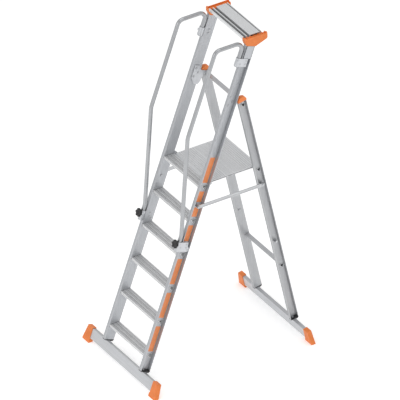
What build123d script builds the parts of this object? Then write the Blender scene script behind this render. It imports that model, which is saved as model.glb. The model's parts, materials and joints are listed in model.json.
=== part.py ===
from build123d import *
import os
from math import atan, cos, radians, sin, sqrt, tan

# Folding platform ladder: stepped front frame, rear frame hinged near the top, fold-up deck,
# side struts, swivelling handrails and a tool tray. Millimetres, +Z up, +Y is the climbing
# direction, X = 0 is the plane of symmetry, and the feet stand on Z = 0.
os.makedirs("parts", exist_ok=True)

# Driving dimensions
LEAN_FRONT = 19.85          # stringers lean back from the vertical, degrees
LEAN_REAR = 12.6            # rear legs lean forward from the vertical, degrees
Y_FRONT = -600.92           # where the stringer centreline meets the floor
Y_REAR = 621.372             # where the rear leg centreline meets the floor
WEB_X = 209.0               # inner face of the stringer web
FLANGE_X = 237.0            # outer edge of stringer and leg flanges
WEB = 2.5                   # web thickness
FLANGE = 3.0                # flange thickness
STRINGER_HALF = 36.5        # half depth of a stringer
STRINGER_TOP = 2510.0       # distance along the stringer
LEG_WEB_X = 212.0           # inner face of the leg web
LEG_HALF = 30.0             # half depth of a leg
LEG_TOP = 2000.0            # distance along the leg
RISE = 235.0                # step height
FIRST_STEP = 211.0          # top of the first tread
DECK_Z = 1386.0             # top of the deck and of the sixth step
BAR_DEEP = 25.0             # stabiliser tube, front to back
BAR_HIGH = 72.0             # stabiliser tube, top to bottom
BAR_HALF = 420.0            # half length of the stabiliser tube
RAIL_R = 14.0               # handrail tube radius
RAIL_X = 223.0              # handrail tube centre when the rail points forward
RAIL_D = -54.0              # handrail swivel axis in front of the stringer centreline
FIT = 0.05                  # running fit, radial
GAP = 0.3                   # air between neighbouring moving parts

# Frames: local y is depth (towards the rear) and local z runs up along the member
FRONT = Pos(0, Y_FRONT, 0) * Rot(-LEAN_FRONT, 0, 0)
REAR = Pos(0, Y_REAR, 0) * Rot(LEAN_REAR, 0, 0)

# Pivot positions, each written (depth, length) in its own frame
HINGE_F = (99.6, 2085.7)    # rear hinge, in the stringer frame
DECK_Y = -43.0              # deck pivot
DECK_PZ = 1372.0
STRUT_Z = 1246.0            # height of the closed strut
STRUT_R = (0.0, 1276.7)     # strut pivot, in the leg frame
STRUT_S = (0.0, 775.7)      # stowing stud, in the leg frame
STRUT_F = (-6.5, 1322.0)    # latch stud, in the stringer frame
STRUT_LEN = 501.0
STRUT_X = 241.5             # inner face of the strut


def block(x, y, z):
    size = [pair[1] - pair[0] for pair in (x, y, z)]
    middle = [(pair[1] + pair[0]) / 2 for pair in (x, y, z)]
    return Pos(*middle) * Box(*size)


def prism(points, x0, x1):
    """Outline given as (y, z) points, extruded across the ladder from x0 to x1."""
    face = make_face(Polyline(*points, close=True))
    return extrude(Plane.YZ.offset(x0) * face, x1 - x0)


def rod(radius, x0, x1, y, z):
    return Pos((x0 + x1) / 2, y, z) * Rot(0, 90, 0) * Cylinder(radius, x1 - x0)


def rod_back(radius, x, d0, d1, t):
    return Pos(x, (d0 + d1) / 2, t) * Rot(90, 0, 0) * Cylinder(radius, d1 - d0)


def hexagon(radius, x0, x1, y, z):
    shape = extrude(RegularPolygon(radius, 6), x1 - x0)
    return Pos(x0, y, z) * Rot(0, 90, 0) * shape


def left(shape):
    return mirror(shape, about=Plane.YZ)


def group(shapes):
    solids = []
    for shape in shapes:
        solids += list(shape.solids())
    return Compound(solids)


def save(name, shape):
    export_step(shape, "parts/" + name + ".step")


def save_pair(name, shape):
    save(name + "_right", shape)
    save(name + "_left", left(shape))


def save_both(name, shapes):
    save(name, group(shapes + [left(shape) for shape in shapes]))


def front_yz(d, t):
    """World (y, z) of a point given in the stringer frame."""
    a = radians(LEAN_FRONT)
    return (Y_FRONT + d * cos(a) + t * sin(a), t * cos(a) - d * sin(a))


def rear_yz(d, t):
    """World (y, z) of a point given in the leg frame."""
    a = radians(LEAN_REAR)
    return (Y_REAR + d * cos(a) - t * sin(a), d * sin(a) + t * cos(a))


def to_rear(y, z):
    """Leg-frame (depth, length) of a world point."""
    a = radians(LEAN_REAR)
    return ((y - Y_REAR) * cos(a) + z * sin(a), z * cos(a) - (y - Y_REAR) * sin(a))


HINGE_R = to_rear(*front_yz(*HINGE_F))


def channel(web_x, half, t0, t1, groove, flutes):
    """Outward-opening C profile with a shallow groove in each flange and flutes in the web."""
    lo = FLANGE_X - 18.5
    hi = FLANGE_X - 9.5
    front = [(web_x, -half), (lo, -half), (lo, groove - half), (hi, groove - half)]
    front += [(hi, -half), (FLANGE_X, -half), (FLANGE_X, FLANGE - half), (web_x + WEB, FLANGE - half)]
    outline = front + [(x, -d) for x, d in reversed(front)]
    face = make_face(Polyline(*outline, close=True))
    bar = Pos(0, 0, t0) * extrude(face, t1 - t0)
    for d in flutes:
        bar -= block((web_x - 1, web_x + 0.3), (d - 1.5, d + 1.5), (t0 - 1, t1 + 1))
    return bar


# Treads -------------------------------------------------------------------------------------
def chamber(yc, zt, grow, top):
    """Triangular chamber below a tread, cut off at the height 'top' under the tread face."""
    slope = 24.0 / 41.0
    half = 27.0 - (top - 3.0) * slope + grow
    low = 3.0 + grow
    return [(yc - half, zt - top), (yc - low, zt - 44), (yc + low, zt - 44), (yc + half, zt - top)]


def tread_outline(yc, zt):
    """Ribbed top, front lip and rear edge, without the hollow chamber."""
    y0 = yc - 49.0
    y1 = yc + 27.5
    points = [(y0, zt - 16), (y0, zt - 10), (y0 + 1.3, zt - 9.6), (y0 + 1.3, zt - 6.4), (y0, zt - 6)]
    points.append((y0, zt - 0.6))
    bay = (y1 - y0) / 3
    for n in range(3):
        a = y0 + n * bay
        points += [(a + 0.4, zt), (a + 6.0, zt), (a + 6.4, zt - 2.2)]
        fine = (bay - 11.4) / 4
        for m in range(4):
            b = a + 6.8 + m * fine
            points += [(b, zt - 1.2), (b + fine * 0.5, zt - 1.2), (b + fine * 0.65, zt - 2.2)]
            points.append((b + fine * 0.9, zt - 2.2))
        if n < 2:
            points += [(a + bay - 4.2, zt - 1.2), (a + bay - 3.9, zt - 3.0), (a + bay - 0.1, zt - 3.0)]
    points += [(y1, zt - 1.2), (y1 - 3, zt - 8), (y1 - 5.2, zt - 8), (y1 - 4.4, zt - 4.4)]
    points += [(y0 + 2.6, zt - 4.4), (y0 + 2.6, zt - 16)]
    return points


def make_tread(yc, zt):
    body = prism(tread_outline(yc, zt), -WEB_X, WEB_X)
    shell = prism(chamber(yc, zt, 0, 3.6), -WEB_X, WEB_X)
    body += shell
    body -= prism(chamber(yc, zt, -2.4, 12.2), -WEB_X - 9, WEB_X + 9)
    body -= prism(
        [(yc - 19.5, zt - 5.6), (yc - 17.0, zt - 9.6), (yc + 17.0, zt - 9.6), (yc + 19.5, zt - 5.6)],
        -WEB_X - 9, WEB_X + 9)
    for side in (-1, 1):
        x0 = side * WEB_X
        x1 = side * (WEB_X + WEB)
        x2 = side * (WEB_X + WEB + 2.4)
        stub = prism(chamber(yc, zt, 0, 10), min(x0, x1), max(x0, x1))
        flare = prism(chamber(yc, zt, 2.2, 9.2), min(x1, x2), max(x1, x2))
        flare -= FRONT * block((-260, 260), (STRINGER_HALF - FLANGE - 0.1, 60), (0, 3000))
        stub += flare
        stub -= prism(chamber(yc, zt, -2.4, 12.2), -WEB_X - 9, WEB_X + 9)
        # pressed cross in the end of the chamber
        body += stub
        for lean in (-1, 1):
            web = [(yc + lean * 17, zt - 12), (yc + lean * 14.4, zt - 12)]
            web += [(yc - lean * 4.3, zt - 34.5), (yc - lean * 4.3, zt - 38)]
            body += prism(web, min(x0, x1), max(x0, x1))
    return body


steps = []
for k in range(6):
    z_top = FIRST_STEP + RISE * k
    z_mark = z_top - 27.0
    y_mark = front_yz(21.0, (z_mark + 21.0 * sin(radians(LEAN_FRONT))) / cos(radians(LEAN_FRONT)))[0]
    steps.append((y_mark - 2.0, z_top))
for k, (yc, zt) in enumerate(steps):
    save("front_step" if k == 5 else "tread_%d" % (k + 1), make_tread(yc, zt))

# Stringers ----------------------------------------------------------------------------------
BRACKET_BOLTS = [(2.0, 1043.0), (3.0, 1018.0), (20.0, 1003.0), (2.0, 2395.0), (3.0, 2370.0)]
HINGE_BOLTS = [(20.0, 2081.0), (-6.0, 2112.0), (-6.0, 2052.0)]
DECK_RIVETS = [1463.0, 1488.0]

stringer = channel(WEB_X, STRINGER_HALF, 101.0, STRINGER_TOP, 0.8, (-14, 14))
for d, t in BRACKET_BOLTS + HINGE_BOLTS + [STRUT_F]:
    stringer -= rod(4.0 + FIT, WEB_X - 2, WEB_X + 6, d, t)
for t in DECK_RIVETS:
    stringer -= rod_back(3.0 + FIT, 223, 30, 40, t)
stringer = FRONT * stringer
for yc, zt in steps:
    stringer -= prism(chamber(yc, zt, 0, 10), WEB_X - 2, WEB_X + WEB + 1)
save_pair("stringer", stringer)

labels = []
for k in range(6):
    t0 = 203.2 + 249.8 * k
    spans = [(t0 + 32, t0 + 218)]
    if k == 3:
        spans = [(t0 + 100, t0 + 218)]
    if k == 4:
        spans = [(t0 + 32, t0 + 100), (t0 + 140, t0 + 218)]
    for a, b in spans:
        labels.append(FRONT * block((WEB_X + WEB, WEB_X + WEB + 0.3), (-20, 28), (a, b)))
save_both("label_strips", labels)


# Stabiliser bars, end caps and plugs --------------------------------------------------------
def make_bar(d0, t0, bolt_d):
    tube = block((-BAR_HALF, BAR_HALF), (d0, d0 + BAR_DEEP), (t0, t0 + BAR_HIGH))
    tube -= block((-BAR_HALF - 1, BAR_HALF + 1), (d0 + 2.5, d0 + BAR_DEEP - 2.5),
                  (t0 + 2.5, t0 + BAR_HIGH - 2.5))
    for x in (-223.5, 223.5):
        tube -= Pos(x, bolt_d, t0 + BAR_HIGH / 2) * Cylinder(4 + FIT, BAR_HIGH + 10)
    return tube


def make_bar_cap(frame, d0, t0):
    """Sleeve over the bar end: it flares outward and runs down to the floor."""
    side = Plane.XZ * make_face(Polyline(
        (367, -40), (451.5, -40), (447, t0 - 24), (427, t0 + BAR_HIGH + 4), (372, t0 + BAR_HIGH + 4),
        (372, t0 - 5), (367, t0 - 15), close=True))
    cap = Pos(0, d0 + BAR_DEEP + 4, 0) * extrude(side, BAR_DEEP + 8)
    edges = cap.edges().filter_by(Axis.Z, tolerance=20)
    cap = fillet(edges, 3.0)
    cap -= block((350, BAR_HALF + 0.5), (d0 - 0.2, d0 + BAR_DEEP + 0.2), (t0 - 0.2, t0 + BAR_HIGH + 0.2))
    cap = frame * cap
    cap -= block((300, 500), (-900, 900), (-80, 0))
    # hollow foot, open downwards, and two raised ribs are left as in the moulding
    hollow = block((384, 432), (d0 + 1.0, d0 + BAR_DEEP - 1.0), (-60, t0 - 8))
    cap -= frame * hollow
    cap -= block((447, 500), (-900, 900), (-10, 200))
    return cap


FRONT_BAR = (-24.2, 24.5)
REAR_BAR = (-19.7, 25.7)
save("front_bar", FRONT * make_bar(FRONT_BAR[0], FRONT_BAR[1], -11.7))
save_both("front_bar_caps", [make_bar_cap(FRONT, FRONT_BAR[0], FRONT_BAR[1])])
save("rear_bar", REAR * make_bar(REAR_BAR[0], REAR_BAR[1], -7.2))
save_both("rear_bar_caps", [make_bar_cap(REAR, REAR_BAR[0], REAR_BAR[1])])


def make_plug(web_x, half, top_t, bar_top, bar_back, bolt_d):
    """Plug in the foot of a channel with a lip that dips behind the bar."""
    dip = [(bar_back + 1.0, bar_top + 1), (bar_back + 1.0, bar_top - 5), (bar_back + 8, bar_top - 9)]
    dip += [(half - 7, bar_top - 7), (half, bar_top), (half, top_t)]
    plate = [(-half, bar_top + 0.2), (-half, top_t)] + list(reversed(dip))
    plate += [(bar_back + 1.0, bar_top + 0.2)]
    body = prism(plate, web_x - 0.8, FLANGE_X + 1.2)
    body += block((web_x + WEB + 0.1, FLANGE_X - 2), (FLANGE - half + 0.1, half - FLANGE - 0.1),
                  (top_t, top_t + 4))
    body -= Pos(223.5, bolt_d, top_t) * Cylinder(4 + FIT, 80)
    return body


save_both("stringer_plugs", [FRONT * make_plug(WEB_X, STRINGER_HALF, 101.0, 96.5, 0.8, -11.7)])
save_both("leg_plugs", [REAR * make_plug(LEG_WEB_X, LEG_HALF, 101.4, 97.7, 5.3, -7.2)])


def make_bar_bolt(d, t_low, t_high):
    bolt = Pos(223.5, d, (t_low + t_high) / 2) * Cylinder(4, t_high - t_low)
    bolt += Pos(223.5, d, t_low - 4) * extrude(RegularPolygon(7, 6), 4)
    bolt += Pos(223.5, d, t_high) * extrude(RegularPolygon(7, 6), 5)
    return bolt


save_both("front_bar_bolts", [FRONT * make_bar_bolt(-11.7, 24.5, 105.0)])
save_both("rear_bar_bolts", [REAR * make_bar_bolt(-7.2, 25.7, 105.4)])


# Handrail brackets --------------------------------------------------------------------------
def make_bracket(t0, t1, plate, rows, floor, lug_t):
    body = prism(plate, FLANGE_X, FLANGE_X + 2.3)
    body += block((211, FLANGE_X + 2.3), (-52, -STRINGER_HALF), (t0, t1))
    body += Pos(RAIL_X, RAIL_D, (t0 + t1) / 2) * Cylinder(18, t1 - t0)
    if lug_t:
        body += block((226, 240.5), (-71, -62), (lug_t - 7, lug_t + 7))
    body -= Pos(RAIL_X, RAIL_D, (floor + t1 + 40) / 2) * Cylinder(RAIL_R + FIT, t1 + 40 - floor)
    for d, t in rows:
        body -= rod(4 + FIT, FLANGE_X - 2, FLANGE_X + 5, d, t)
    return body


lower_plate = [(-54, 988), (10, 988), (28, 994), (28, 1014), (13, 1030), (12, 1057), (-54, 1057)]
upper_plate = [(-54, 2350), (12, 2350), (12, 2409), (-54, 2409)]
lower = make_bracket(988, 1057, lower_plate, BRACKET_BOLTS[:3], 1001, 0)
upper = make_bracket(2350, 2409, upper_plate, BRACKET_BOLTS[3:], 2300, 2385)
CLAMP_SCREWS = [(-40.5, 1018.0), (-40.5, 2370.0)]
lower -= rod(2 + FIT, 231, 245, -40.5, 1018.0)
upper -= rod(2 + FIT, 231, 245, -40.5, 2370.0)
KNOB_T = 1038.0
lower -= Pos(RAIL_X, -70, KNOB_T) * Rot(90, 0, 0) * Cylinder(4 + FIT, 12)
save_pair("handrail_bracket_lower", FRONT * lower)
save_pair("handrail_bracket_upper", FRONT * upper)

bolts = []
for d, t in BRACKET_BOLTS:
    bolt = rod(4, WEB_X - 4, FLANGE_X + 2.3, d, t) + rod(6.2, FLANGE_X + 2.3, FLANGE_X + 3.4, d, t)
    bolt += hexagon(6.5, WEB_X - 4, WEB_X, d, t)
    bolts.append(FRONT * bolt)
save_both("bracket_bolts", bolts)
screws = []
for d, t in CLAMP_SCREWS:
    screws.append(FRONT * (rod(2, 232.5, FLANGE_X + 2.3, d, t) + rod(4, FLANGE_X + 2.3, FLANGE_X + 3.4, d, t)))
save_both("clamp_screws", screws)


# Top of the stringers: post inserts, tray and its end caps ----------------------------------
post = block((WEB_X + WEB, FLANGE_X - 0.6), (-23, 33.5), (2409.0, 2500.0))
post = fillet(post.edges().filter_by(Axis.Z), 2.5)
save_both("tray_posts", [FRONT * post])

TRAY_X = 204.0              # half width of the tray extrusion
TRAY_Y = 207.0              # front edge of the tray
tray_outline = [(TRAY_Y, 2401), (TRAY_Y, 2418), (TRAY_Y + 2, 2420), (TRAY_Y + 8, 2420), (TRAY_Y + 10, 2418)]
tray_outline += [(TRAY_Y + 10, 2404), (235, 2404), (235, 2416), (236.5, 2418), (242, 2418), (243.5, 2416)]
tray_outline += [(243.5, 2404), (264, 2404), (264, 2415), (266, 2417), (339, 2417), (340.5, 2415)]
tray_outline += [(340.5, 2405), (346, 2405), (346, 2418), (347.5, 2420), (351, 2420), (352, 2418), (352, 2401)]
tray = prism(tray_outline, -TRAY_X, TRAY_X)
tray -= prism([(267, 2404), (267, 2414), (337, 2414), (337, 2404)], -300, 300)
for n in range(12):
    y = 268.5 + n * 5.9
    tray -= block((-TRAY_X, TRAY_X), (y, y + 1.6), (2416.3, 2418))
save("tool_tray", tray)

cap_outline = [(206, 2392), (216, 2366.2), (285.7, 2341.1), (368, 2371), (378, 2380), (377, 2413), (206, 2414)]
cap = prism(cap_outline, TRAY_X + 0.2, 239.6)
cap = fillet(cap.edges().filter_by(Axis.X), 2.5)
for y0, y1 in ((206.5, 217), (366, 377)):
    cap += fillet(block((222, 239.6), (y0, y1), (2405, 2420)).edges().filter_by(Axis.Z), 3)
# open pit beside the tray with a raised rim and cross ribs
pit = block((TRAY_X, 234.5), (213, 371), (2404.5, 2425))
for y in (232, 262, 292, 322, 352):
    pit -= block((TRAY_X, 236), (y, y + 3), (2403, 2410.5))
cap -= pit
cap -= FRONT * block((WEB_X - 0.1, FLANGE_X + 0.1), (-36.6, 36.6), (2400, 2510.5))
save_pair("tray_cap", cap)


# Rear hinge and deck brackets ---------------------------------------------------------------
def lug_plate(outline, pivot, radius, x0, x1, bolts_at):
    body = prism(outline, x0, x1) + rod(radius, x0, x1, pivot[0], pivot[1])
    body -= rod(5 + FIT, x0 - 1, x1 + 1, pivot[0], pivot[1])
    for d, t in bolts_at:
        body -= rod(4 + FIT, x0 - 1, x1 + 1, d, t)
    return body


h_d, h_t = HINGE_F
hinge_outline = [(-22, 2135), (-22, 2040), (10, 1998), (44, 1996), (58, 2019), (64, 2074), (78, 2077)]
hinge_outline += [(h_d, h_t - 11), (h_d, h_t + 11), (38, 2102), (12, 2135)]
hinge = lug_plate(hinge_outline, HINGE_F, 11, WEB_X - 4.2, WEB_X, HINGE_BOLTS)
save_pair("hinge_bracket", FRONT * hinge)

deck_d = (DECK_Y - Y_FRONT) * cos(radians(LEAN_FRONT)) - DECK_PZ * sin(radians(LEAN_FRONT))
deck_t = (DECK_Y - Y_FRONT) * sin(radians(LEAN_FRONT)) + DECK_PZ * cos(radians(LEAN_FRONT))
deck_outline = [(STRINGER_HALF, 1450), (46, 1450), (deck_d + 3, deck_t - 11.6), (deck_d + 3, deck_t + 11.6)]
deck_outline += [(46, 1504), (STRINGER_HALF, 1504)]
bracket = lug_plate(deck_outline, (deck_d, deck_t), 12, WEB_X - 4.5, WEB_X, [])
bracket += block((WEB_X - 4.5, 234), (STRINGER_HALF, 39), (1450, 1501))
for t in DECK_RIVETS:
    bracket -= rod_back(3.0 + FIT, 223, 30, 42, t)
save_both("deck_brackets", [FRONT * bracket])
rivets = []
for t in DECK_RIVETS:
    rivet = rod_back(3.0, 223, 33.5, 39, t) + rod_back(5.0, 223, 39, 41, t) + rod_back(5.0, 223, 31.5, 33.5, t)
    rivets.append(FRONT * rivet)
save_both("deck_bracket_rivets", rivets)

bolts = []
for d, t in HINGE_BOLTS:
    bolt = rod(4, WEB_X - 4.2, WEB_X + WEB, d, t) + hexagon(7, WEB_X + WEB, WEB_X + WEB + 4.5, d, t)
    bolt += rod(6.5, WEB_X - 7.7, WEB_X - 4.2, d, t)
    bolts.append(FRONT * bolt)
save_both("hinge_bracket_bolts", bolts)

# Strut studs and pivots ---------------------------------------------------------------------
latch = rod(4, WEB_X - 5, WEB_X + WEB + 1, *STRUT_F) + rod(9, WEB_X + WEB, STRUT_X - 0.4, *STRUT_F)
latch += hexagon(8, WEB_X - 5, WEB_X, *STRUT_F)
save_both("strut_latch_studs", [FRONT * latch])

keeper = rod(4, LEG_WEB_X - 5, LEG_WEB_X + WEB + 1, *STRUT_S)
keeper += rod(9, LEG_WEB_X + WEB, STRUT_X - 0.4, *STRUT_S)
keeper += hexagon(8, LEG_WEB_X - 5, LEG_WEB_X, *STRUT_S)
save_both("strut_keeper_studs", [REAR * keeper])

pivot = rod(4, LEG_WEB_X - 5, LEG_WEB_X + WEB + 1, *STRUT_R)
pivot += rod(9, LEG_WEB_X + WEB, STRUT_X - GAP, *STRUT_R) + hexagon(8, LEG_WEB_X - 5, LEG_WEB_X, *STRUT_R)
pivot += rod(6, STRUT_X - GAP, STRUT_X + 5 + GAP, *STRUT_R)
pivot += rod(10, STRUT_X + 5 + GAP, STRUT_X + 8.5, *STRUT_R)
save_both("strut_pivot_bolts", [REAR * pivot])

r_y, r_z = rear_yz(*STRUT_R)
f_y = r_y - STRUT_LEN
strut = block((STRUT_X, STRUT_X + 5), (f_y, r_y), (r_z - 12.5, r_z + 12.5))
strut += rod(12.5, STRUT_X, STRUT_X + 5, f_y, r_z) + rod(12.5, STRUT_X, STRUT_X + 5, r_y, r_z)
strut -= rod(6 + FIT, STRUT_X - 1, STRUT_X + 6, r_y, r_z)
strut -= rod(4, STRUT_X - 1, STRUT_X + 6, f_y, r_z)
strut -= block((STRUT_X + 4.2, STRUT_X + 6), (f_y + 30, r_y - 30), (r_z - 5, r_z + 5))
save_pair("strut", strut)
button = rod(3.95, STRUT_X, STRUT_X + 5, f_y, r_z)
head = rod(9, STRUT_X + 5, STRUT_X + 9, f_y, r_z)
button += fillet(head.edges(), 1.0)
save_pair("strut_button", button)

# Rear frame ---------------------------------------------------------------------------------
RUNGS = {"rung_upper": (9.4, 1945.0), "rung_middle": (9.4, 1384.5), "rung_lower": (9.4, 547.7)}


def rung_triangle(d, t, grow):
    half = 15.5 + grow
    return [(d - half, t + 14 + grow), (d - half, t + 9), (d - 3 - grow, t - 15 - grow),
            (d + 3 + grow, t - 15 - grow), (d + half, t + 9), (d + half, t + 14 + grow)]


leg = channel(LEG_WEB_X, LEG_HALF, 101.4, LEG_TOP, 0.8, (-10, 10))
for d, t in RUNGS.values():
    leg -= prism(rung_triangle(d, t, 0), LEG_WEB_X - 2, LEG_WEB_X + WEB + 1)
for d, t in (STRUT_R, STRUT_S):
    leg -= rod(4 + FIT, LEG_WEB_X - 2, LEG_WEB_X + 6, d, t)
leg -= rod(5 + FIT, LEG_WEB_X - 2, LEG_WEB_X + 6, *HINGE_R)
save_pair("rear_leg", REAR * leg)
for name, (d, t) in RUNGS.items():
    rung = prism(rung_triangle(d, t, 0), -LEG_WEB_X - WEB, LEG_WEB_X + WEB)
    # the web hole is the same outline, so the middle part stays between the webs
    for side in (-1, 1):
        x0 = side * (LEG_WEB_X + WEB)
        x1 = side * (LEG_WEB_X + WEB + 2.2)
        rung += prism(rung_triangle(d, t, 2.0), min(x0, x1), max(x0, x1))
    rung -= prism(rung_triangle(d, t, -2.0), -260, 260)
    save(name, REAR * rung)

skirt = [(-32, 1993), (-32, 2004), (-29, 2012), (-22, 2019), (-12, 2024.5), (0, 2026.5), (12, 2024.5)]
skirt += [(22, 2019), (29, 2012), (32, 2004), (32, 1993)]
leg_cap = prism(skirt, LEG_WEB_X - 2.2, FLANGE_X + 2)
leg_cap -= block((LEG_WEB_X - 0.1, FLANGE_X + 0.1), (-LEG_HALF - 0.1, LEG_HALF + 0.1), (1980, LEG_TOP + 0.5))
save_pair("leg_cap", REAR * leg_cap)

pin = rod(5, WEB_X - 4.2 - GAP, LEG_WEB_X + WEB, *HINGE_R)
pin += rod(9, WEB_X - 4.2 - GAP - 3, WEB_X - 4.2 - GAP, *HINGE_R)
pin += rod(10, LEG_WEB_X + WEB, LEG_WEB_X + WEB + 4, *HINGE_R)
washer = rod(10, WEB_X + GAP, LEG_WEB_X, *HINGE_R) - rod(5 + FIT, WEB_X, LEG_WEB_X + 1, *HINGE_R)
save_both("hinge_pins", [REAR * pin, REAR * washer])

# Deck ---------------------------------------------------------------------------------------
DECK_X = 203.0
DECK_END = 333.0
DECK_LOW = DECK_Z - 13.0
SPLIT = (90.0, 212.0)


def plank(y0, y1, rib, pitch, deep):
    """Hollow plank with a ribbed top; 'rib' is the rib width and 'deep' the groove depth."""
    points = [(y0, DECK_LOW), (y0, DECK_Z - 1.0)]
    count = int((y1 - y0) / pitch)
    step = (y1 - y0) / count
    for n in range(count):
        a = y0 + n * step
        points += [(a + 0.4, DECK_Z), (a + rib, DECK_Z)]
        if n < count - 1:
            points += [(a + rib + 0.3, DECK_Z - deep), (a + step - 0.1, DECK_Z - deep)]
    points += [(y1, DECK_Z), (y1, DECK_LOW)]
    body = prism(points, -DECK_X, DECK_X)
    cells = 3
    width = (y1 - y0 - 2.0 * (cells + 1)) / cells
    for n in range(cells):
        c0 = y0 + 2 + n * (width + 2)
        body -= block((-260, 260), (c0, c0 + width), (DECK_LOW + 2, DECK_Z - 4))
    return body


nose = plank(DECK_Y, SPLIT[0] - 0.2, 8.6, 14.5, 1.8)
nose += rod(13.2, -DECK_X, DECK_X, DECK_Y, DECK_PZ)
nose -= rod(5 + FIT, -260, 260, DECK_Y, DECK_PZ)
save("deck_plank_front", nose)
save("deck_plank_middle", plank(SPLIT[0] + 0.2, SPLIT[1] - 0.2, 4.6, 7.2, 0.9))
save("deck_plank_rear", plank(SPLIT[1] + 0.2, DECK_END, 8.6, 14.5, 1.8))
side_rail = block((168, 196), (-22, 300), (DECK_LOW - 3, DECK_LOW))
save_both("deck_side_rails", [side_rail])
deck_pin = rod(5, 150, WEB_X - 0.4, DECK_Y, DECK_PZ)
save_both("deck_pivot_pins", [deck_pin])


# Handrails ----------------------------------------------------------------------------------
def bent_path(points, radii):
    """Straight runs joined by arcs of the given radii; points are (d, t) pairs."""
    pts = [Vector(RAIL_X, d, t) for d, t in points]
    edges = []
    start = pts[0]
    for n in range(1, len(pts) - 1):
        before = (pts[n - 1] - pts[n]).normalized()
        after = (pts[n + 1] - pts[n]).normalized()
        half = before.get_angle(after) / 2
        reach = radii[n - 1] / tan(radians(half))
        a = pts[n] + before * reach
        b = pts[n] + after * reach
        bisector = (before + after).normalized()
        centre = pts[n] + bisector * (radii[n - 1] / sin(radians(half)))
        middle = centre - bisector * radii[n - 1]
        edges.append(Line(start, a))
        edges.append(ThreePointArc(a, middle, b))
        start = b
    edges.append(Line(start, pts[-1]))
    return Wire(edges)


RAIL_END = 2345.0
RAIL_FOOT = 1001.3
rail_points = [(RAIL_D, RAIL_FOOT), (RAIL_D, 1100), (-259.0, 1812), (-259.0, 2450.4), (RAIL_D, 2524.4)]
rail_points += [(RAIL_D, RAIL_END)]
path = bent_path(rail_points, [120, 120, 46, 44])
start_plane = Plane(origin=(RAIL_X, RAIL_D, RAIL_FOOT), x_dir=(1, 0, 0), z_dir=(0, 0, 1))
tube = sweep(start_plane * (Circle(RAIL_R) - Circle(RAIL_R - 1.6)), path=path)
save_pair("handrail", FRONT * tube)
plugs = []
for t0 in (RAIL_FOOT, RAIL_END):
    plugs.append(FRONT * (Pos(RAIL_X, RAIL_D, t0 + 6) * Cylinder(RAIL_R - 1.6, 12)))
save("handrail_plugs_right", group(plugs))
save("handrail_plugs_left", group([left(shape) for shape in plugs]))

# Star knobs ---------------------------------------------------------------------------------
star = Circle(23.5)
for n in range(6):
    star += Rot(0, 0, 60 * n) * Pos(20.5, 0) * Circle(9)
knob = extrude(star, 16)
knob = fillet(knob.edges().group_by(Axis.Z)[-1] + knob.edges().group_by(Axis.Z)[0], 2)
knob -= Pos(0, 0, 16) * Cylinder(11, 3)
knob += Pos(0, 0, 15) * Cylinder(8, 2)
knob -= Cylinder(4, 16)
place = FRONT * Pos(RAIL_X, -75, KNOB_T) * Rot(90, 0, 0)
save_pair("star_knob", place * knob)
stud = Cylinder(4, 14.6)
save_pair("knob_stud", place * Pos(0, 0, 0.7) * stud)
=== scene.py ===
import bpy
import bmesh
import json
import math
from mathutils import Vector, Matrix


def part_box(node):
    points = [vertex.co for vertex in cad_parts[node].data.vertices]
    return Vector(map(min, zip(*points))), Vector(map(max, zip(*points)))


# Folding platform ladder: the CAD nodes keep their shape and get procedural materials here.
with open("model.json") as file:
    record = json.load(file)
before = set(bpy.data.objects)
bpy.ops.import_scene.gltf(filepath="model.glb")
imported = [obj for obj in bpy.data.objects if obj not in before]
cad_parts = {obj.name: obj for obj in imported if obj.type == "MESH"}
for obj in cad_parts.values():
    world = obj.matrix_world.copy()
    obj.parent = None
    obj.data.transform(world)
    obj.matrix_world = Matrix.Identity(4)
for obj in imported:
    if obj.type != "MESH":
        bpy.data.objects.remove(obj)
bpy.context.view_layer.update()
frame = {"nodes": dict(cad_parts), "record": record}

# Scales of the surface detail, in cells per metre
LINE_SHORT = 900    # across the die lines
LINE_LONG = 6       # along them
BAND_SHORT = 120    # across the broader bands
BAND_LONG = 2
GRAIN_CELLS = 900   # eroded grain of the mouldings

# Lengths, in metres
RELIEF = 0.0002         # height of die lines and plating texture
GRAIN_RELIEF = 0.00025
METAL_EDGE = 0.0012     # width of the rubbed line on metal edges
MOULDED_EDGE = 0.0015
# reach of the painted shade in grooves and joints
CAVITY_SHADE_REACH = 0.006
SLOT_SHADE_FULL_DEPTH = 0.010       # depth below the tray's top where the painted shade in its slots is darkest
SLOT_SHADE_START_DEPTH = 0.004      # depth above which its slots get no painted shade

# Turns that lay the die lines along the leaning members
UPRIGHT = (0, 0, 0)
FRONT_LEAN = (math.radians(19.85), 0, 0)
REAR_LEAN = (math.radians(-12.6), 0, 0)

# Camera and floor, in degrees and metres
AZIMUTH = 57.57
ELEVATION = 33.27
DISTANCE = 100.0
VIEW_WIDTH = 2.64166    # width of the picture at the object
VIEW_RIGHT = 0.0071     # the picture's middle, right of the frame origin
VIEW_UP = 0.9285        # and above it
SENSOR = 36
FAR_CLIP = 250
FLOOR_HALF = 60.0
FLOOR_DROP = 0.0005


# Node-tree helpers --------------------------------------------------------------------------
def new_material(name):
    mat = bpy.data.materials.new(name)
    mat.use_nodes = True
    tree = mat.node_tree
    return mat, tree, tree.nodes["Principled BSDF"]


def grey(v):
    return (v, v, v)


def ramp(tree, source, stops):
    """Colour output of a ramp with (position, colour) stops."""
    node = tree.nodes.new("ShaderNodeValToRGB")
    while len(node.color_ramp.elements) < len(stops):
        node.color_ramp.elements.new(0.5)
    for element, (place, colour) in zip(node.color_ramp.elements, stops):
        element.position = place
        element.color = (*colour, 1.0)
    tree.links.new(source, node.inputs["Fac"])
    return node.outputs["Color"]


def coords(tree, scale=(1, 1, 1), turn=UPRIGHT):
    tex = tree.nodes.new("ShaderNodeTexCoord")
    mapping = tree.nodes.new("ShaderNodeMapping")
    mapping.inputs["Scale"].default_value = scale
    mapping.inputs["Rotation"].default_value = turn
    tree.links.new(tex.outputs["Object"], mapping.inputs["Vector"])
    return mapping.outputs["Vector"]


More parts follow.
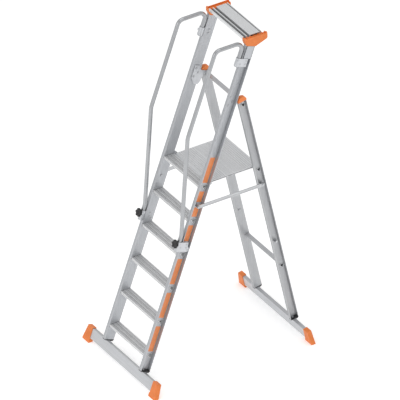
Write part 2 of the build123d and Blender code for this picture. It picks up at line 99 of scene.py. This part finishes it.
def noise(tree, vector, scale, detail, rough):
    node = tree.nodes.new("ShaderNodeTexNoise")
    node.inputs["Scale"].default_value = scale
    node.inputs["Detail"].default_value = detail
    node.inputs["Roughness"].default_value = rough
    tree.links.new(vector, node.inputs["Vector"])
    return node.outputs["Fac"]


def height_of(tree, vector):
    split = tree.nodes.new("ShaderNodeSeparateXYZ")
    tree.links.new(vector, split.inputs["Vector"])
    return split.outputs["Z"]


def mix_colour(tree, fac, a, b, mode="MIX"):
    """Mixes a and b, each a socket or a colour; fac is a socket or a number."""
    node = tree.nodes.new("ShaderNodeMix")
    node.data_type = "RGBA"
    node.blend_type = mode
    for socket, value in ((node.inputs[0], fac), (node.inputs[6], a), (node.inputs[7], b)):
        if hasattr(value, "is_linked"):
            tree.links.new(value, socket)
        elif isinstance(value, (int, float)):
            socket.default_value = value
        else:
            socket.default_value = (*value, 1.0)
    return node.outputs[2]


def multiply(tree, amount, tone, shade):
    return mix_colour(tree, amount, tone, shade, "MULTIPLY")


def edge_wear(tree, radius, amount):
    """Bright on a thin line along sharp edges, where a bevelled normal leaves the face normal."""
    bevel = tree.nodes.new("ShaderNodeBevel")
    bevel.samples = 4
    bevel.inputs["Radius"].default_value = radius
    geo = tree.nodes.new("ShaderNodeNewGeometry")
    dot = tree.nodes.new("ShaderNodeVectorMath")
    dot.operation = "DOT_PRODUCT"
    tree.links.new(bevel.outputs["Normal"], dot.inputs[0])
    tree.links.new(geo.outputs["Normal"], dot.inputs[1])
    return ramp(tree, dot.outputs["Value"], [(0.80, grey(amount)), (0.99, grey(0))])


def painted_cavity_shade(tree, amount):
    """Painted shade: darker where surfaces close in on each other, such as grooves and joints
    between parts.
    """
    cavity = tree.nodes.new("ShaderNodeAmbientOcclusion")
    cavity.samples = 6
    cavity.inputs["Distance"].default_value = CAVITY_SHADE_REACH
    return ramp(tree, cavity.outputs["AO"], [(0.25, grey(1 - amount)), (0.95, grey(1))])


def finish_surface(tree, shader, tone, gloss, height, strength, distance, metal=None):
    """Links colour, roughness and bump to the shader."""
    tree.links.new(tone, shader.inputs["Base Color"])
    tree.links.new(gloss, shader.inputs["Roughness"])
    if metal is not None:
        shader.inputs["Metallic"].default_value = metal
    node = tree.nodes.new("ShaderNodeBump")
    node.inputs["Strength"].default_value = strength
    node.inputs["Distance"].default_value = distance
    tree.links.new(height, node.inputs["Height"])
    tree.links.new(node.outputs["Normal"], shader.inputs["Normal"])


# Materials ----------------------------------------------------------------------------------
def along_axis(axis, across, along):
    """Texture scale that stretches a pattern along one axis."""
    return tuple(along if letter == axis else across for letter in "XYZ")


def aluminium(name, base, rough, metal, turn=UPRIGHT, axis="X", streak=1.0, cavity_shade_amount=0.45):
    """Satin extruded aluminium: fine die lines along the member, soft blotches, rubbed edges,
    painted shade in grooves and joints.
    """
    mat, tree, shader = new_material(name)
    fine = along_axis(axis, LINE_SHORT, LINE_LONG)
    broad = along_axis(axis, BAND_SHORT, BAND_LONG)
    lines = noise(tree, coords(tree, fine, turn), 1.0, 3.0, 0.65)
    bands = noise(tree, coords(tree, broad, turn), 1.0, 2.0, 0.5)
    blotch = noise(tree, coords(tree, turn=turn), 5.0, 5.0, 0.6)
    dark = tuple(c * 0.86 for c in base)
    light = tuple(min(1.0, c * 1.08) for c in base)
    tone = ramp(tree, lines, [(0.30, dark), (0.70, light)])
    band = ramp(tree, bands, [(0.30, grey(0.90)), (0.70, grey(1.0))])
    tone = multiply(tree, 0.7 * streak, tone, band)
    haze = ramp(tree, blotch, [(0.35, grey(0.93)), (0.65, grey(1.0))])
    tone = multiply(tree, 0.8, tone, haze)
    tone = mix_colour(tree, edge_wear(tree, METAL_EDGE, 0.35), tone, grey(0.90))
    # painted shade: darkens grooves and joints between parts
    tone = multiply(tree, 1.0, tone, painted_cavity_shade(tree, cavity_shade_amount))
    gloss = ramp(tree, lines, [(0.25, grey(rough + 0.08)), (0.75, grey(rough - 0.06))])
    finish_surface(tree, shader, tone, gloss, lines, 0.25 * streak, RELIEF, metal)
    return mat


def tray_metal_slot_shade(name, top):
    """The tray's satin metal, with a much darker painted shade on the slot floors below its top
    plate.
    """
    mat, tree, shader = new_material(name)
    lines = noise(tree, coords(tree, along_axis("X", LINE_SHORT, LINE_LONG)), 1.0, 3.0, 0.65)
    tone = ramp(tree, lines, [(0.30, (0.70, 0.71, 0.72)), (0.70, (0.84, 0.85, 0.86))])
    depth = tree.nodes.new("ShaderNodeMapRange")
    depth.inputs["From Min"].default_value = top - SLOT_SHADE_FULL_DEPTH
    depth.inputs["From Max"].default_value = top - SLOT_SHADE_START_DEPTH
    tree.links.new(height_of(tree, coords(tree)), depth.inputs["Value"])
    # painted shade on the upward-facing slot floors below the top plate
    slot_floor_shade = ramp(tree, depth.outputs["Result"], [(0.0, grey(0.22)), (1.0, grey(1))])
    geo = tree.nodes.new("ShaderNodeNewGeometry")
    upward = ramp(tree, height_of(tree, geo.outputs["Normal"]), [(0.6, grey(0)), (0.8, grey(1))])
    tone = multiply(tree, 1.0, tone, mix_colour(tree, upward, grey(1), slot_floor_shade))
    gloss = ramp(tree, lines, [(0.25, grey(0.46)), (0.75, grey(0.34))])
    finish_surface(tree, shader, tone, gloss, lines, 0.25, RELIEF, 0.6)
    return mat


def plastic(name, base, rough, grain, wear):
    """Moulded plastic: fine spark-eroded grain, slight mottling, paler rubbed edges."""
    mat, tree, shader = new_material(name)
    place = coords(tree)
    cells = tree.nodes.new("ShaderNodeTexVoronoi")
    cells.inputs["Scale"].default_value = GRAIN_CELLS
    tree.links.new(place, cells.inputs["Vector"])
    mottle = noise(tree, place, 14.0, 6.0, 0.65)
    fleck = noise(tree, place, 260.0, 2.0, 0.5)
    dark = tuple(c * 0.84 for c in base)
    tone = ramp(tree, mottle, [(0.35, dark), (0.65, base)])
    spots = ramp(tree, fleck, [(0.30, grey(0.90)), (0.55, grey(1.0))])
    tone = multiply(tree, 0.8, tone, spots)
    pale = tuple(min(1.0, c * 1.25 + 0.06) for c in base)
    tone = mix_colour(tree, edge_wear(tree, MOULDED_EDGE, wear), tone, pale)
    gloss = ramp(tree, mottle, [(0.3, grey(rough + 0.08)), (0.7, grey(rough - 0.05))])
    finish_surface(tree, shader, tone, gloss, cells.outputs["Distance"], grain, GRAIN_RELIEF)
    return mat


def steel(name):
    """Zinc-plated steel: faint crystalline patches and a cool tint."""
    mat, tree, shader = new_material(name)
    patches = noise(tree, coords(tree), 160.0, 5.0, 0.6)
    tone = ramp(tree, patches, [(0.3, (0.40, 0.41, 0.43)), (0.7, (0.60, 0.61, 0.62))])
    gloss = ramp(tree, patches, [(0.3, grey(0.42)), (0.7, grey(0.30))])
    finish_surface(tree, shader, tone, gloss, patches, 0.1, RELIEF, 0.9)
    return mat


cross_mat = aluminium("satin_cross", (0.62, 0.63, 0.65), 0.42, 0.7)
leg_mat = aluminium("satin_leg", (0.54, 0.55, 0.565), 0.44, 0.55, REAR_LEAN, "Z")
strut_mat = aluminium("strut_flat", (0.60, 0.61, 0.625), 0.38, 0.85, axis="Y", streak=0.8)
by_slot = {
    "rail_aluminium": aluminium(
        "satin_rail", (0.56, 0.575, 0.60), 0.44, 0.55, FRONT_LEAN, "Z"),
    "tread_aluminium": aluminium("ribbed_tread", (0.86, 0.865, 0.875), 0.42, 0.55, cavity_shade_amount=0.6),
    "deck_aluminium": aluminium("ribbed_deck", (0.86, 0.87, 0.885), 0.42, 0.5, cavity_shade_amount=0.5),
    "plate_aluminium": aluminium(
        "rolled_plate", (0.64, 0.655, 0.68), 0.36, 0.88, FRONT_LEAN, "Z", 0.6),
    "tube_aluminium": aluminium(
        "drawn_tube", (0.46, 0.47, 0.485), 0.30, 0.85, FRONT_LEAN, "Z", 0.5),
    "tray_aluminium": tray_metal_slot_shade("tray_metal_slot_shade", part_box("tool_tray")[1][2]),
    "orange_plastic": plastic("orange_moulding", (0.90, 0.235, 0.045), 0.48, 0.35, 0.6),
    "black_plastic": plastic("black_moulding", (0.015, 0.015, 0.017), 0.46, 0.35, 0.5),
    "orange_label": plastic("orange_strip", (0.93, 0.30, 0.10), 0.34, 0.05, 0.2),
    "zinc_steel": steel("zinc_steel"),
}
# nodes whose finish differs from the rest of their slot
own = {
    "rear_leg_left": leg_mat, "rear_leg_right": leg_mat,
    "front_bar": cross_mat, "rear_bar": cross_mat,
    "rung_upper": cross_mat, "rung_middle": cross_mat, "rung_lower": cross_mat,
    "strut_left": strut_mat, "strut_right": strut_mat,
}
slots = {entry["node"]: entry["material_slot"] for entry in frame["record"]["subparts"]}
for name, obj in frame["nodes"].items():
    mat = own.get(name, by_slot[slots[name]])
    if not obj.material_slots:
        obj.data.materials.append(mat)
    for slot in obj.material_slots:
        slot.material = mat


# Camera -------------------------------------------------------------------------------------
def make_camera():
    """A distant camera, because the view to match has almost no perspective."""
    az = math.radians(AZIMUTH)
    el = math.radians(ELEVATION)
    back = Vector((math.sin(az) * math.cos(el), -math.cos(az) * math.cos(el), math.sin(el)))
    right = Vector((math.cos(az), math.sin(az), 0))
    up = back.cross(right)
    data = bpy.data.cameras.new("camera")
    data.sensor_width = SENSOR
    data.lens = SENSOR * DISTANCE / VIEW_WIDTH
    data.clip_end = FAR_CLIP
    camera = bpy.data.objects.new("camera", data)
    bpy.context.collection.objects.link(camera)
    axes = Matrix((right, up, back)).transposed().to_4x4()
    spot = right * VIEW_RIGHT + up * VIEW_UP + back * DISTANCE
    camera.matrix_world = Matrix.Translation(spot) @ axes
    bpy.context.scene.camera = camera


make_camera()


# Floor and light ----------------------------------------------------------------------------
def stage_floor():
    mesh = bpy.data.meshes.new("floor")
    bm = bmesh.new()
    bmesh.ops.create_grid(bm, x_segments=8, y_segments=8, size=FLOOR_HALF)
    bm.to_mesh(mesh)
    bm.free()
    floor = bpy.data.objects.new("floor", mesh)
    floor.location = (0, 0, -FLOOR_DROP)
    bpy.context.collection.objects.link(floor)
    mat, tree, shader = new_material("studio_floor")
    cloud = noise(tree, coords(tree), 0.6, 3.0, 0.5)
    tone = ramp(tree, cloud, [(0.3, grey(0.93)), (0.7, grey(0.96))])
    tree.links.new(tone, shader.inputs["Base Color"])
    shader.inputs["Roughness"].default_value = 0.9
    shader.inputs["Specular IOR Level"].default_value = 0.1
    shader.inputs["Emission Color"].default_value = (1.0, 1.0, 1.0, 1.0)
    shader.inputs["Emission Strength"].default_value = 0.34
    mesh.materials.append(mat)


def area_light(name, place, target, size, power):
    """A square soft light of the given side, in metres, and power, in watts."""
    data = bpy.data.lights.new(name, "AREA")
    data.shape = "RECTANGLE"
    data.size = data.size_y = size
    data.energy = power
    light = bpy.data.objects.new(name, data)
    light.location = place
    aim = Vector(target) - Vector(place)
    light.rotation_euler = aim.to_track_quat("-Z", "Y").to_euler()
    bpy.context.collection.objects.link(light)


stage_floor()
world = bpy.data.worlds.new("studio")
world.use_nodes = True
sky = world.node_tree.nodes["Background"]
sky.inputs["Color"].default_value = (1.0, 1.0, 1.0, 1.0)
sky.inputs["Strength"].default_value = 0.66
bpy.context.scene.world = world
bpy.context.scene.view_settings.view_transform = "Standard"
area_light("key", (1.5, -6.5, 4.5), (0, 0, 1.2), 4.0, 75)
area_light("side", (7.0, 1.0, 4.0), (0, 0, 1.2), 4.0, 40)
area_light("top", (0.0, 0.0, 8.0), (0, 0, 0.8), 5.0, 85)
